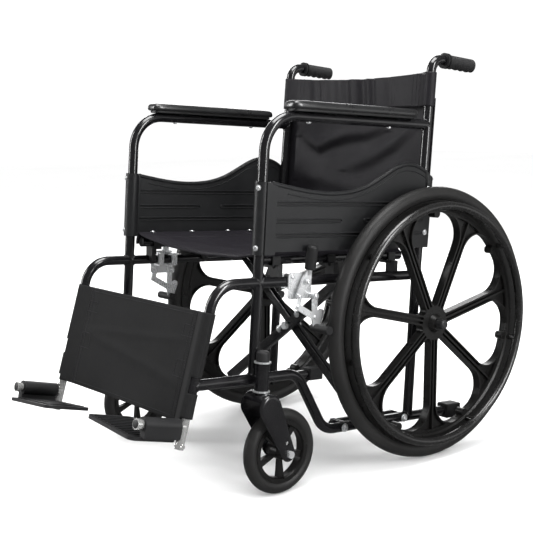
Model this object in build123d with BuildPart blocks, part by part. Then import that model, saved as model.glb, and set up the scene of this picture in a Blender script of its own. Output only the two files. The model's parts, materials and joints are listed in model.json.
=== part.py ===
from build123d import *
from math import cos, radians, sin, sqrt, tan
import os

# Folding manual wheelchair. Millimetres, +Z up, facing -Y, +X towards the sitter's left.
# The origin is on the ground at the middle of the bounding box.

# ---- driving dimensions -------------------------------------------------------------
WHEEL_R = 305.0            # 24 in rear wheel, over the tyre
CASTOR_R = 89.0            # 7 in castor, over the tyre
FRONT_REACH = 768.9        # rear axle to the front corner of the footplates
AXLE_Y = (FRONT_REACH - WHEEL_R) / 2
FRAME_X = 247.0            # centre plane of a side frame
FRAME_TILT = 3.7           # side frames slope down to the back, degrees
POST_LEAN = 1.1            # uprights lean back from the side frame's own vertical
RECLINE = 1.1              # further lean of the back posts above the seat
TUBE_R = 11.0
TUBE_WALL = 1.6
FIT = 0.06                 # radial clearance of a running fit
GAP = 0.5                  # air between pieces of different bodies

# Side frame outline, in the frame's own plane: u backwards from the axle, v upwards.
UPPER_V = 102.7
ARM_V = 441.4
LOWER_FRONT_V = -93.6
LOWER_REAR_V = -224.2
HANDLE_V = 590.5
UPRIGHT_U = -457.0         # front upright at the upper rail
POST_U = -0.5              # back post at the upper rail
STEP_FRONT_U = -345.0      # lower rail starts to drop
STEP_REAR_U = -264.0       # lower rail is down
TIP_END_U = 146.0
HANDLE_END_U = 146.0
HANDLE_DROP = 2.8
HANGER_U = -561.5          # corner of the legrest hanger
HANGER_LEAN = 13.5
HANGER_END_V = -155.0
ARM_BEND = 75.0
HANGER_BEND = 60.0
STEP_BENDS = [45.0, 50.0]
POST_BENDS = [600.0, 30.0]

# Folding cross brace and seat rails.
BRACE_X = 223.5            # lower hinge and seat rail, each side of the middle
HINGE_V = -222.0
SEAT_V = 147.0
SEAT_FRONT_U = -438.0
SEAT_REAR_U = -38.0
BRACE_U = -156.0           # where the two bars cross
BRACE_BAR_W = 24.0
BRACE_BAR_T = 15.0
BAR_INSET = 22.0           # the bars end above the hinge tubes and below the seat rails
BRACE_WASHER = 2.0
HINGE_FRONT_U = -210.0
HINGE_REAR_U = -27.0
HINGE_PIN_R = 4.0

# Rear wheel, measured outwards from the middle of the chair.
WHEEL_X = 302.0
TYRE_R = 17.0
HUB_IN_X = 270.0
HUB_OUT_X = 323.0
AXLE_END_X = 343.0
AXLE_R = 6.0
SPOKES = 7
SPOKE_PHASE = 11.3
RIM_IN_R = 250.0
RIM_BED_R = 268.0
RIM_LIP_R = 275.0
HANDRIM_X = 335.0
HANDRIM_R = 264.0
HANDRIM_TUBE_R = 9.5

# Castor.
STEM_X = 276.0
STEM_R = 6.0
HOUSING_R = 14.5
HOUSING_LOW_V = -112.0
HOUSING_TOP_V = -56.0
CASTOR_Y = -424.0          # wheel axle, from the rear axle
CASTOR_TYRE_R = 14.0
FORK_IN = 31.0
FORK_PLATE = 5.0
CASTOR_AXLE_R = 4.0

# Footrests.
EXT_R = 9.3
EXT_TOP_V = -20.0
EXT_END_V = -222.0
PIN_V = -178.0             # where the footplate's pin leaves the extension tube
PIN_RISE = 13.5            # the pin points forwards and up, degrees from the ground
PIN_R = 5.0
PIN_LENGTH = 112.0
SLEEVE_R = 15.0
SLEEVE_START = 13.0
SLEEVE_LENGTH = 84.0
PLATE_LENGTH = 109.0
PLATE_REACH = 170.0
PLATE_OUT = 6.0            # how far the tread passes outboard of the pin
PLATE_DROP = 24.0
PLATE_T = 7.0
PLATE_RAISE = {"left": 3.5, "right": 5.0}
FOOT_SHIFT = {"left": 6.0, "right": -14.0}

# Brakes: places in the side frame, and the layers from the tube outwards.
LEVER_U = -348.0
LEVER_V = 104.0
SHOE_PIVOT_U = -325.4
SHOE_PIVOT_V = 72.4
SHOE_U = -320.0
SHOE_V = 5.5
SHOE_R = 9.0
BRAKE_PLATE_X = FRAME_X + TUBE_R + 0.5
LEVER_X = BRAKE_PLATE_X + 7.5
SHOE_ARM_X = LEVER_X + 5.5
GRIP_X = LEVER_X + 13.5
GRIP_ROUND_R = 12.0
LINK_LOW = (-324.4, 28.0)
LINK_FRONT = (-371.6, 52.7)
LINK_TOP = (-367.2, 73.2)

SIDES = {"left": 1, "right": -1}
TILT = radians(FRAME_TILT)
LEAN = tan(radians(POST_LEAN))
os.makedirs("parts", exist_ok=True)


# ---- places ----------------------------------------------------------------------------
def frame_plane(x):
    """The side frame's plane at lateral distance x, with local axes u (back) and v (up)."""
    return Plane(origin=(x, AXLE_Y, WHEEL_R), x_dir=(0, cos(TILT), -sin(TILT)), z_dir=(1, 0, 0))


def spot(x, u, v):
    """A point in the row's frame from its lateral distance and its place in the side frame."""
    return frame_plane(x).from_local_coords(Vector(u, v, 0))


def direction(u, v):
    """A unit direction in the side frame's plane."""
    return (spot(0, u, v) - spot(0, 0, 0)).normalized()


def upright_u(v):
    return UPRIGHT_U + (v - UPPER_V) * LEAN


def post_u(v):
    lean = LEAN if v < UPPER_V else tan(radians(POST_LEAN + RECLINE))
    return POST_U + (v - UPPER_V) * lean


def hanger_u(v):
    return HANGER_U - (UPPER_V - v) * tan(radians(HANGER_LEAN))


BACK = direction(1, 0)
UP = direction(LEAN, 1)
HANGER_UP = direction(tan(radians(HANGER_LEAN)), 1)
PIN_DIR = Vector(0, -cos(radians(PIN_RISE)), sin(radians(PIN_RISE)))


def save(pieces, node, sign=1):
    """Write one node from its separate pieces, mirrored for the sitter's right side."""
    group = Compound([solid for piece in pieces for solid in piece.solids()])
    piece = group if sign > 0 else mirror(group, about=Plane.YZ)
    piece.label = node
    export_step(piece, f"parts/{node}.step")


def bent_tube(points, bends, outer=TUBE_R, wall=TUBE_WALL, x=FRAME_X):
    """A round tube, or with no wall a rod, along a filleted polyline in the side frame."""
    with BuildPart() as tube:
        with BuildLine(frame_plane(x)) as path:
            if bends:
                FilletPolyline(*points, radius=bends)
            else:
                Polyline(*points)
        with BuildSketch(Plane(origin=path.line @ 0, z_dir=path.line % 0)):
            Circle(outer)
            if wall:
                Circle(outer - wall, mode=Mode.SUBTRACT)
        sweep(path=path.line)
    return tube.part


def cylinder_between(start, end, radius, hole=0.0):
    """A straight round bar or sleeve between two points."""
    along = end - start
    with BuildPart() as bar:
        with BuildSketch(Plane(origin=start, z_dir=along)):
            Circle(radius)
            if hole:
                Circle(hole, mode=Mode.SUBTRACT)
        extrude(amount=along.length)
    return bar.part


def along_u(x, start_u, end_u, v, radius):
    """A solid round bar parallel to the rails."""
    return cylinder_between(spot(x, start_u, v), spot(x, end_u, v), radius)


def block(center, size, plane_dir=BACK):
    """A box with its length along plane_dir, its width along X and its height across both."""
    width, length, height = size
    start = center - plane_dir * (length / 2)
    with BuildPart() as box:
        with BuildSketch(Plane(origin=start, x_dir=(1, 0, 0), z_dir=plane_dir)):
            Rectangle(width, height)
        extrude(amount=length)
    return box.part


# ---- side frame ------------------------------------------------------------------------
ARM_PATH = [(upright_u(LOWER_FRONT_V), LOWER_FRONT_V), (upright_u(ARM_V), ARM_V), (post_u(ARM_V), ARM_V)]
HANDLE_END_V = HANDLE_V - (HANDLE_END_U - post_u(HANDLE_V)) * tan(radians(HANDLE_DROP))
POST_PATH = [
    (post_u(LOWER_REAR_V), LOWER_REAR_V),
    (POST_U, UPPER_V),
    (post_u(HANDLE_V), HANDLE_V),
    (HANDLE_END_U, HANDLE_END_V),
]
RAIL_PATH = [(UPRIGHT_U, UPPER_V), (POST_U, UPPER_V)]
HANGER_PATH = [(UPRIGHT_U, UPPER_V), (HANGER_U, UPPER_V), (hanger_u(HANGER_END_V), HANGER_END_V)]
LOWER_PATH = [
    (hanger_u(LOWER_FRONT_V), LOWER_FRONT_V),
    (STEP_FRONT_U, LOWER_FRONT_V),
    (STEP_REAR_U, LOWER_REAR_V),
    (TIP_END_U, LOWER_REAR_V),
]

upright_rod = bent_tube(ARM_PATH, ARM_BEND, wall=0)
post_rod = bent_tube(POST_PATH, POST_BENDS, wall=0)
lower_rod = bent_tube(LOWER_PATH, STEP_BENDS, wall=0)
hanger_rod = bent_tube(HANGER_PATH, HANGER_BEND, wall=0)

with BuildPart() as arm_tube:
    add(bent_tube(ARM_PATH, ARM_BEND))
    add(post_rod, mode=Mode.SUBTRACT)
    add(lower_rod, mode=Mode.SUBTRACT)

axle_at = Vector(FRAME_X, AXLE_Y, WHEEL_R)
axle_hole = cylinder_between(axle_at - Vector(20, 0, 0), axle_at + Vector(20, 0, 0), AXLE_R)
with BuildPart() as back_post:
    add(bent_tube(POST_PATH, POST_BENDS))
    add(lower_rod, mode=Mode.SUBTRACT)
    add(axle_hole, mode=Mode.SUBTRACT)

with BuildPart() as upper_rail:
    add(bent_tube(RAIL_PATH, None))
    add(upright_rod, mode=Mode.SUBTRACT)
    add(post_rod, mode=Mode.SUBTRACT)

with BuildPart() as hanger:
    add(bent_tube(HANGER_PATH, HANGER_BEND))
    add(upright_rod, mode=Mode.SUBTRACT)

with BuildPart() as lower_rail:
    add(bent_tube(LOWER_PATH, STEP_BENDS))
    add(hanger_rod, mode=Mode.SUBTRACT)

# Castor housing: a tube outboard of the upright, held by two welded collars.
housing_low = spot(STEM_X, upright_u(HOUSING_LOW_V), HOUSING_LOW_V)
housing_top = spot(STEM_X, upright_u(HOUSING_TOP_V), HOUSING_TOP_V)
with BuildPart() as castor_housing:
    add(cylinder_between(housing_low, housing_top, HOUSING_R))
    for collar in (0.38, 0.85):
        middle = housing_low + (housing_top - housing_low) * collar
        add(block(middle - Vector(13, 0, 0), (22, 16, 9), plane_dir=direction(1, -LEAN)))
    add(cylinder_between(housing_low, housing_top, HOUSING_R - 2.5), mode=Mode.SUBTRACT)
    add(upright_rod, mode=Mode.SUBTRACT)
    add(lower_rod, mode=Mode.SUBTRACT)

# Bearing cups at both ends of the housing and the domed dust cap on top.
CUP_R = 17.5
CUP_H = 3.0
CAP_H = 22.0
cup_low = housing_low - UP * CUP_H
cup_top = housing_top + UP * CUP_H
with BuildPart() as castor_bearings:
    add(cylinder_between(cup_low, housing_low, CUP_R, STEM_R + FIT))
    add(cylinder_between(housing_low, housing_low + UP * 9, HOUSING_R - 2.5, STEM_R + FIT))
    add(cylinder_between(housing_top, cup_top, CUP_R, STEM_R + FIT))
    add(cylinder_between(housing_top - UP * 9, housing_top, HOUSING_R - 2.5, STEM_R + FIT))

with BuildPart() as castor_cap:
    with BuildSketch(Plane(origin=cup_top, x_dir=(1, 0, 0), z_dir=UP)):
        Circle(HOUSING_R - 1)
    extrude(amount=CAP_H)
    fillet(castor_cap.edges().filter_by(GeomType.CIRCLE).sort_by(Axis(cup_top, UP))[-1], 6)
    add(cylinder_between(cup_top, cup_top + UP * (CAP_H - 4), STEM_R + 5), mode=Mode.SUBTRACT)

# Push grip: a sleeve with a collar at its front end.
GRIP_R = 13.0
GRIP_START_U = 56.0
grip_dir = direction(1, -tan(radians(HANDLE_DROP)))
grip_start_v = HANDLE_END_V + (HANDLE_END_U - GRIP_START_U) * tan(radians(HANDLE_DROP))
grip_start = spot(FRAME_X, GRIP_START_U, grip_start_v)
grip_end = spot(FRAME_X, HANDLE_END_U, HANDLE_END_V)
with BuildPart() as push_grip:
    add(cylinder_between(grip_start, grip_end + grip_dir * 5, GRIP_R))
    fillet(push_grip.edges().sort_by(Axis.Y)[-1], 4)
    add(cylinder_between(grip_start, grip_start + grip_dir * 7, GRIP_R + 3))
    add(cylinder_between(grip_start - grip_dir * 1, grip_end, TUBE_R + 0.02), mode=Mode.SUBTRACT)

with BuildPart() as tip_cap:
    add(block(spot(FRAME_X, TIP_END_U - 13, LOWER_REAR_V), (34, 46, 33)))
    fillet(tip_cap.edges(), 3)
    add(along_u(FRAME_X, 60, TIP_END_U, LOWER_REAR_V, TUBE_R + 0.02), mode=Mode.SUBTRACT)

# ---- armrest, skirt guard and its clip ---------------------------------------------
PAD_FRONT_U = -392.0
PAD_REAR_U = -38.0
PAD_W = 56.0
BOARD_T = 4.0
PAD_T = 17.0
PAD_SHIFT = {"left": 0.0, "right": -16.0}
pad_base = spot(FRAME_X, 0, ARM_V + TUBE_R)
with BuildPart() as arm_board:
    with BuildSketch(Plane(origin=pad_base, x_dir=(1, 0, 0), z_dir=direction(0, 1))):
        with Locations((0, (PAD_FRONT_U + PAD_REAR_U) / 2)):
            RectangleRounded(PAD_W - 10, PAD_REAR_U - PAD_FRONT_U - 12, 12)
    extrude(amount=BOARD_T)

with BuildPart() as arm_pad:
    pad_plane = Plane(origin=pad_base + direction(0, 1) * BOARD_T, x_dir=(1, 0, 0), z_dir=direction(0, 1))
    with BuildSketch(pad_plane):
        with Locations((0, (PAD_FRONT_U + PAD_REAR_U) / 2)):
            RectangleRounded(PAD_W, PAD_REAR_U - PAD_FRONT_U, 20)
    extrude(amount=PAD_T)
    fillet(arm_pad.faces().sort_by(Axis.Z)[-1].edges(), 6)

# The guard lies outboard of the tubes. Its top edge dips behind the clip and swells up to a
# hump over the wheel, and its rear edge covers the back post.
GUARD_X = 261.5
GUARD_T = 6.0
GUARD_LOW_V = 166.0
GUARD_FRONT_U = upright_u(310) + TUBE_R + 1
GUARD_REAR = [(post_u(322) + 13, 322), (post_u(GUARD_LOW_V) + 13, GUARD_LOW_V)]
GUARD_TOP = [
    (GUARD_FRONT_U, 308),
    (-400, 301),
    (-330, 291),
    (-268, 289),
    (-185, 303),
    (-118, 335),
    (-68, 354),
    (-38, 353),
    GUARD_REAR[0],
]
GROOVE_FRONT_U = GUARD_FRONT_U + 6
GROOVES = (
    (264, GROOVE_FRONT_U, -6.0),
    (228.5, GROOVE_FRONT_U, -250.0),
    (228.5, -186.0, -6.0),
    (199, GROOVE_FRONT_U, -6.0),
)
with BuildPart() as skirt_guard:
    with BuildSketch(frame_plane(GUARD_X - GUARD_T / 2)):
        with BuildLine():
            Spline(*GUARD_TOP)
            Polyline(*GUARD_REAR, (GUARD_FRONT_U, GUARD_LOW_V), GUARD_TOP[0])
        make_face()
    extrude(amount=GUARD_T)
    for groove_v, groove_start, groove_end in GROOVES:
        for face_x, depth in ((GUARD_X + GUARD_T / 2, -2), (GUARD_X - GUARD_T / 2, 2)):
            with BuildSketch(frame_plane(face_x)):
                with Locations(((groove_start + groove_end) / 2, groove_v)):
                    SlotOverall(groove_end - groove_start, 3.5)
            extrude(amount=depth, mode=Mode.SUBTRACT)
    for boss_v in (200, 300):
        boss = spot(FRAME_X, post_u(boss_v), boss_v)
        add(cylinder_between(boss, boss + Vector(GUARD_X - FRAME_X, 0, 0), 5))
    add(post_rod, mode=Mode.SUBTRACT)

CLIP_LOW_V = 160.0
CLIP_TOP_V = 307.0
clip_low = spot(FRAME_X, upright_u(CLIP_LOW_V), CLIP_LOW_V)
clip_top = spot(FRAME_X, upright_u(CLIP_TOP_V), CLIP_TOP_V)
clip_jaw = (clip_low + clip_top) * 0.5 + BACK * 12 + Vector(11, 0, 0)
with BuildPart() as guard_clip:
    add(cylinder_between(clip_low, clip_top, TUBE_R + 4.5))
    add(block(clip_jaw, (16, 26, CLIP_TOP_V - CLIP_LOW_V), plane_dir=direction(1, -LEAN)))
    add(cylinder_between(clip_low - UP * 5, clip_top + UP * 5, TUBE_R + 0.02), mode=Mode.SUBTRACT)
    add(skirt_guard.part, mode=Mode.SUBTRACT)

# ---- saddles that carry the seat rails --------------------------------------------------
SADDLE_US = (-402.0, -250.0, -70.0)
SADDLE_L = 20.0
with BuildPart() as seat_saddles:
    for saddle_u in SADDLE_US:
        add(block(spot(FRAME_X - 9, saddle_u, UPPER_V + 16), (26, 12, 36)))
        add(block(spot(BRACE_X, saddle_u, SEAT_V - 5), (29, SADDLE_L, 24)))
    slot_middle_v = SEAT_V - TUBE_R - GAP + 23
    add(block(spot(BRACE_X, -225, slot_middle_v), (2 * TUBE_R + 2 * GAP, 450, 46)), mode=Mode.SUBTRACT)
    add(along_u(FRAME_X, -450, 0, UPPER_V, TUBE_R), mode=Mode.SUBTRACT)

# ---- folding cross brace --------------------------------------------------------------
CENTRE_V = (SEAT_V + HINGE_V) / 2


def cross_brace(bar_u, hole_r):
    """Left hinge tube, bar up to the right with its struts, and right seat rail, in one weldment."""
    low = spot(BRACE_X, bar_u, HINGE_V + BAR_INSET)
    high = spot(-BRACE_X, bar_u, SEAT_V - BAR_INSET)
    with BuildPart() as brace:
        with BuildSketch(Plane(origin=low, x_dir=BACK, z_dir=high - low)):
            RectangleRounded(BRACE_BAR_T, BRACE_BAR_W, 4)
        extrude(amount=(high - low).length)
        add(along_u(BRACE_X, HINGE_FRONT_U + 12, HINGE_REAR_U - 12, HINGE_V, TUBE_R))
        add(cylinder_between(spot(BRACE_X, HINGE_REAR_U - 30, HINGE_V), low + (high - low) * 0.3, 7))
        add(along_u(-BRACE_X, SEAT_FRONT_U, SEAT_REAR_U, SEAT_V, TUBE_R))
        pin_tunnel = along_u(BRACE_X, SEAT_FRONT_U, SEAT_REAR_U + 15, HINGE_V, HINGE_PIN_R + FIT)
        add(pin_tunnel, mode=Mode.SUBTRACT)
        rail_bore = along_u(-BRACE_X, SEAT_FRONT_U + 6, SEAT_REAR_U - 6, SEAT_V, TUBE_R - TUBE_WALL)
        add(rail_bore, mode=Mode.SUBTRACT)
        add(along_u(0, bar_u - 20, bar_u + 20, CENTRE_V, hole_r), mode=Mode.SUBTRACT)
    return brace.part


BAR_OFFSET = (BRACE_BAR_T + BRACE_WASHER) / 2
PIVOT_R = 5.0
save([cross_brace(BRACE_U + BAR_OFFSET, PIVOT_R)], "cross_brace_rear")
save([cross_brace(BRACE_U - BAR_OFFSET, PIVOT_R + FIT)], "cross_brace_front", -1)

pivot_front = BRACE_U - BAR_OFFSET - BRACE_BAR_T / 2
pivot_rear = BRACE_U + BAR_OFFSET + BRACE_BAR_T / 2
with BuildPart() as brace_pivot:
    add(along_u(0, pivot_front - 3, pivot_rear + 8, CENTRE_V, PIVOT_R - 0.01))
    add(along_u(0, pivot_front - 9, pivot_front - GAP, CENTRE_V, 9))
    add(along_u(0, pivot_rear, pivot_rear + 7, CENTRE_V, 8.5))
save([brace_pivot.part], "brace_pivot_bolt")

# Hinge brackets on the lower rail, with the pins that the brace turns on.
bracket_v = (HINGE_V + LOWER_REAR_V) / 2
with BuildPart() as hinge_brackets:
    for bracket_u in (HINGE_FRONT_U, HINGE_REAR_U):
        add(block(spot(FRAME_X - 16, bracket_u, bracket_v), (32, 12, 22)))
    add(lower_rod, mode=Mode.SUBTRACT)
    add(along_u(BRACE_X, -300, 40, HINGE_V, HINGE_PIN_R), mode=Mode.SUBTRACT)

with BuildPart() as hinge_pins:
    for bracket_u, inward in ((HINGE_FRONT_U, 1), (HINGE_REAR_U, -1)):
        pin_ends = sorted((bracket_u - inward * 9, bracket_u + inward * 50))
        add(along_u(BRACE_X, *pin_ends, HINGE_V, HINGE_PIN_R - 0.01))
        head_ends = sorted((bracket_u - inward * 11, bracket_u - inward * 6))
        add(along_u(BRACE_X, *head_ends, HINGE_V, 8))

# ---- rear wheel --------------------------------------------------------------------------
wheel_axis = Axis((0, AXLE_Y, WHEEL_R), (1, 0, 0))


def ring_about_axle(section):
    """Turn a section, drawn with local x along the axle and local y outwards, about the axle."""
    with BuildPart() as ring:
        with BuildSketch(Plane(origin=(0, AXLE_Y, WHEEL_R), x_dir=(1, 0, 0), z_dir=(0, -1, 0))):
            with BuildLine():
                Polyline(*section, close=True)
            make_face()
        revolve(axis=wheel_axis)
    return ring.part


RIM_HALF = 13.0
rim_section = [
    (WHEEL_X - RIM_HALF, RIM_IN_R + 6),
    (WHEEL_X - RIM_HALF + 4, RIM_IN_R),
    (WHEEL_X + RIM_HALF - 4, RIM_IN_R),
    (WHEEL_X + RIM_HALF, RIM_IN_R + 6),
    (WHEEL_X + RIM_HALF, RIM_LIP_R),
    (WHEEL_X + RIM_HALF - 3, RIM_LIP_R),
    (WHEEL_X + RIM_HALF - 4, RIM_BED_R),
    (WHEEL_X - RIM_HALF + 4, RIM_BED_R),
    (WHEEL_X - RIM_HALF + 3, RIM_LIP_R),
    (WHEEL_X - RIM_HALF, RIM_LIP_R),
]
hub_section = [
    (HUB_IN_X, AXLE_R + FIT),
    (HUB_IN_X, 20),
    (WHEEL_X - 11, 21),
    (WHEEL_X + 11, 21),
    (HUB_OUT_X - 3, 17),
    (HUB_OUT_X, 15),
    (HUB_OUT_X, AXLE_R + FIT),
]
SPOKE_W = 22.0
SPOKE_DEPTH = 20.0
WEB_T = 5.0
FLANGE = 3.5
RIM_HOLE_R = RIM_IN_R - 2.0
GUSSET_R = 52.0
BOSS_R = 9.0
spoke_angles = [SPOKE_PHASE + 360.0 / SPOKES * k for k in range(SPOKES)]
boss_angles = [a + 180.0 / SPOKES for a in spoke_angles]


def wheel_face(plane):
    """The wheel's pierced disc: rim ring, hub, flared spokes and handrim bosses."""
    with BuildSketch(plane) as face:
        Circle(RIM_IN_R + 8)
        Circle(RIM_HOLE_R, mode=Mode.SUBTRACT)
        Circle(24)
        for angle in spoke_angles:
            with Locations(Rot(0, 0, angle) * Pos(RIM_IN_R / 2 + 4, 0)):
                Rectangle(RIM_IN_R, SPOKE_W)
        tips = [v for v in face.vertices() if abs(v.center().length - RIM_HOLE_R) < 0.5]
        fillet(tips, GUSSET_R)
        roots = [v for v in face.vertices() if v.center().length < 30]
        fillet(roots, 10)
        for angle in boss_angles:
            with Locations(Rot(0, 0, angle) * Pos(RIM_IN_R - 5, 0)):
                Circle(BOSS_R)
    return face.sketch


def wheel_pocket(plane):
    """Both recessed halves of one spoke, widening inside its gussets, repeated round the wheel."""
    arc_y = SPOKE_W / 2 + GUSSET_R
    arc_x = sqrt((RIM_HOLE_R - GUSSET_R) ** 2 - arc_y**2)
    arc_r = GUSSET_R + FLANGE
    turns = [radians(a) for a in (0, 15, 30, 45, 60, 70)]
    edge = [(arc_x + arc_r * sin(a), arc_y - arc_r * cos(a)) for a in turns]
    outline = [(38, SPOKE_W / 2 - FLANGE)] + edge + [(RIM_HOLE_R - 6, 28), (RIM_HOLE_R - 4, 2), (38, 2)]
    with BuildSketch(plane) as pocket:
        for angle in spoke_angles:
            for side in (-1, 1):
                with Locations(Rot(0, 0, angle)):
                    Polygon(*[(px, side * py) for px, py in outline], align=None)
    return pocket.sketch


wheel_mid = Plane(origin=(WHEEL_X, AXLE_Y, WHEEL_R), x_dir=(0, 1, 0), z_dir=(1, 0, 0))
with BuildPart() as rear_wheel:
    add(ring_about_axle(rim_section))
    add(ring_about_axle(hub_section))
    disc = wheel_face(wheel_mid.offset(-SPOKE_DEPTH / 2))
    extrude(disc, amount=SPOKE_DEPTH)
    extrude(wheel_pocket(wheel_mid.offset(WEB_T / 2)), amount=SPOKE_DEPTH, mode=Mode.SUBTRACT)
    extrude(wheel_pocket(wheel_mid.offset(-WEB_T / 2)), amount=-SPOKE_DEPTH, mode=Mode.SUBTRACT)
    bore_from = Vector(HUB_IN_X - 5, AXLE_Y, WHEEL_R)
    bore_to = Vector(HUB_OUT_X + 5, AXLE_Y, WHEEL_R)
    add(cylinder_between(bore_from, bore_to, AXLE_R + FIT), mode=Mode.SUBTRACT)

with BuildPart() as rear_tyre:
    with BuildSketch(Plane(origin=(0, AXLE_Y, WHEEL_R), x_dir=(1, 0, 0), z_dir=(0, -1, 0))):
        with Locations((WHEEL_X, WHEEL_R - TYRE_R)):
            Circle(TYRE_R)
    revolve(axis=wheel_axis)
    add(ring_about_axle([
        (WHEEL_X - RIM_HALF - 0.02, RIM_IN_R),
        (WHEEL_X + RIM_HALF + 0.02, RIM_IN_R),
        (WHEEL_X + RIM_HALF + 0.02, RIM_LIP_R),
        (WHEEL_X - RIM_HALF - 0.02, RIM_LIP_R),
    ]), mode=Mode.SUBTRACT)

with BuildPart() as handrim:
    with BuildSketch(Plane(origin=(0, AXLE_Y, WHEEL_R), x_dir=(1, 0, 0), z_dir=(0, -1, 0))):
        with Locations((HANDRIM_X, HANDRIM_R)):
            Circle(HANDRIM_TUBE_R)
    revolve(axis=wheel_axis)
    for angle in boss_angles:
        out = Vector(0, cos(radians(angle)), sin(radians(angle)))
        foot = Vector(WHEEL_X + RIM_HALF, AXLE_Y, WHEEL_R) + out * (HANDRIM_R - 4)
        add(cylinder_between(foot, foot + Vector(HANDRIM_X - WHEEL_X - RIM_HALF, 0, 0), 7))

with BuildPart() as rear_axle:
    head = Vector(FRAME_X - TUBE_R - 6, AXLE_Y, WHEEL_R)
    add(cylinder_between(head, Vector(AXLE_END_X - 6, AXLE_Y, WHEEL_R), AXLE_R - 0.01))
    add(cylinder_between(head, head + Vector(6, 0, 0), 10))
    axle_end = Vector(AXLE_END_X, AXLE_Y, WHEEL_R)
    add(cylinder_between(Vector(HUB_OUT_X + GAP, AXLE_Y, WHEEL_R), axle_end, 10.5))
    add(cylinder_between(Vector(FRAME_X, AXLE_Y, WHEEL_R), Vector(HUB_IN_X - GAP, AXLE_Y, WHEEL_R), 13))
    add(post_rod, mode=Mode.SUBTRACT)
    add(cylinder_between(head, Vector(HUB_OUT_X, AXLE_Y, WHEEL_R), AXLE_R - 0.01))
    fillet(rear_axle.edges().filter_by(GeomType.CIRCLE).sort_by(Axis.X)[-1], 4)

# ---- castor -------------------------------------------------------------------------------
castor_hub = Vector(STEM_X, AXLE_Y + CASTOR_Y, CASTOR_R)
castor_axis = Axis(castor_hub, (1, 0, 0))
stem_low = cup_low - UP * 1.0
crown = stem_low - UP * 9
FORK_TOP_R = 28.0
FORK_AXLE_R = 17.0
with BuildPart() as castor_fork:
    with BuildSketch(Plane(origin=(STEM_X - FORK_IN - FORK_PLATE, 0, 0), x_dir=(0, 1, 0), z_dir=(1, 0, 0))):
        with Locations((crown.Y, crown.Z - FORK_TOP_R + 9)):
            Circle(FORK_TOP_R)
        with Locations((castor_hub.Y, castor_hub.Z)):
            Circle(FORK_AXLE_R)
        make_hull()
    extrude(amount=2 * (FORK_IN + FORK_PLATE))
    fillet(castor_fork.edges().filter_by(GeomType.CIRCLE).group_by(SortBy.RADIUS)[-1], 7)
    with BuildSketch(Plane(origin=(STEM_X, AXLE_Y - 1000, 0), x_dir=(1, 0, 0), z_dir=(0, 1, 0))):
        with Locations((0, -(crown.Z - 4 - 100))):
            Rectangle(2 * FORK_IN, 200)
    extrude(amount=2000, mode=Mode.SUBTRACT)
    add(cylinder_between(crown - UP * 3, cup_top + UP * 9, STEM_R))
    add(cylinder_between(crown, stem_low, 15))
    for leg in (-1, 1):
        leg_x = STEM_X + leg * (FORK_IN + FORK_PLATE / 2)
        spare = Vector(leg_x, castor_hub.Y - 5, castor_hub.Z + 24)
        add(cylinder_between(spare - Vector(9, 0, 0), spare + Vector(9, 0, 0), 4.5), mode=Mode.SUBTRACT)
    bolt_a = castor_hub - Vector(60, 0, 0)
    add(cylinder_between(bolt_a, castor_hub + Vector(60, 0, 0), CASTOR_AXLE_R), mode=Mode.SUBTRACT)


def ring_about_castor(section):
    with BuildPart() as ring:
        with BuildSketch(Plane(origin=castor_hub, x_dir=(1, 0, 0), z_dir=(0, -1, 0))):
            with BuildLine():
                Polyline(*section, close=True)
            make_face()
        revolve(axis=castor_axis)
    return ring.part


CASTOR_RIM_R = 66.0
CASTOR_RIM_IN_R = 55.0
CASTOR_SPOKES = 5
castor_mid = Plane(origin=castor_hub, x_dir=(0, 1, 0), z_dir=(1, 0, 0))
with BuildPart() as castor_wheel:
    add(ring_about_castor([
        (-12, 57),
        (-8, CASTOR_RIM_IN_R),
        (8, CASTOR_RIM_IN_R),
        (12, 57),
        (12, CASTOR_RIM_R),
        (-12, CASTOR_RIM_R),
    ]))
    add(ring_about_castor([(-29, 5), (-29, 13), (-10, 17), (10, 17), (29, 13), (29, 5)]))
    with BuildSketch(castor_mid.offset(-6)):
        for k in range(CASTOR_SPOKES):
            with Locations(Rot(0, 0, 54 + 360.0 / CASTOR_SPOKES * k) * Pos(35, 0)):
                Trapezoid(16, 50, 96, rotation=-90)
    extrude(amount=12)
    add(cylinder_between(bolt_a, castor_hub + Vector(60, 0, 0), CASTOR_AXLE_R + FIT), mode=Mode.SUBTRACT)

with BuildPart() as castor_tyre:
    with BuildSketch(Plane(origin=castor_hub, x_dir=(1, 0, 0), z_dir=(0, -1, 0))):
        with Locations((0, CASTOR_R - CASTOR_TYRE_R)):
            Circle(CASTOR_TYRE_R)
    revolve(axis=castor_axis)
    add(ring_about_castor([
        (-12.02, 50),
        (12.02, 50),
        (12.02, CASTOR_RIM_R + 0.02),
        (-12.02, CASTOR_RIM_R + 0.02),
    ]), mode=Mode.SUBTRACT)

axle_half = FORK_IN + FORK_PLATE
axle_reach = Vector(axle_half + 6, 0, 0)
with BuildPart() as castor_axle:
    add(cylinder_between(castor_hub - axle_reach, castor_hub + axle_reach, CASTOR_AXLE_R - 0.01))
    for leg in (-1, 1):
        face = castor_hub + Vector(leg * axle_half, 0, 0)
        add(cylinder_between(face, face + Vector(leg * 6, 0, 0), 7.5))
        washer = castor_hub + Vector(leg * (29 + GAP), 0, 0)
        add(cylinder_between(washer, castor_hub + Vector(leg * FORK_IN, 0, 0), 8))

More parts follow.
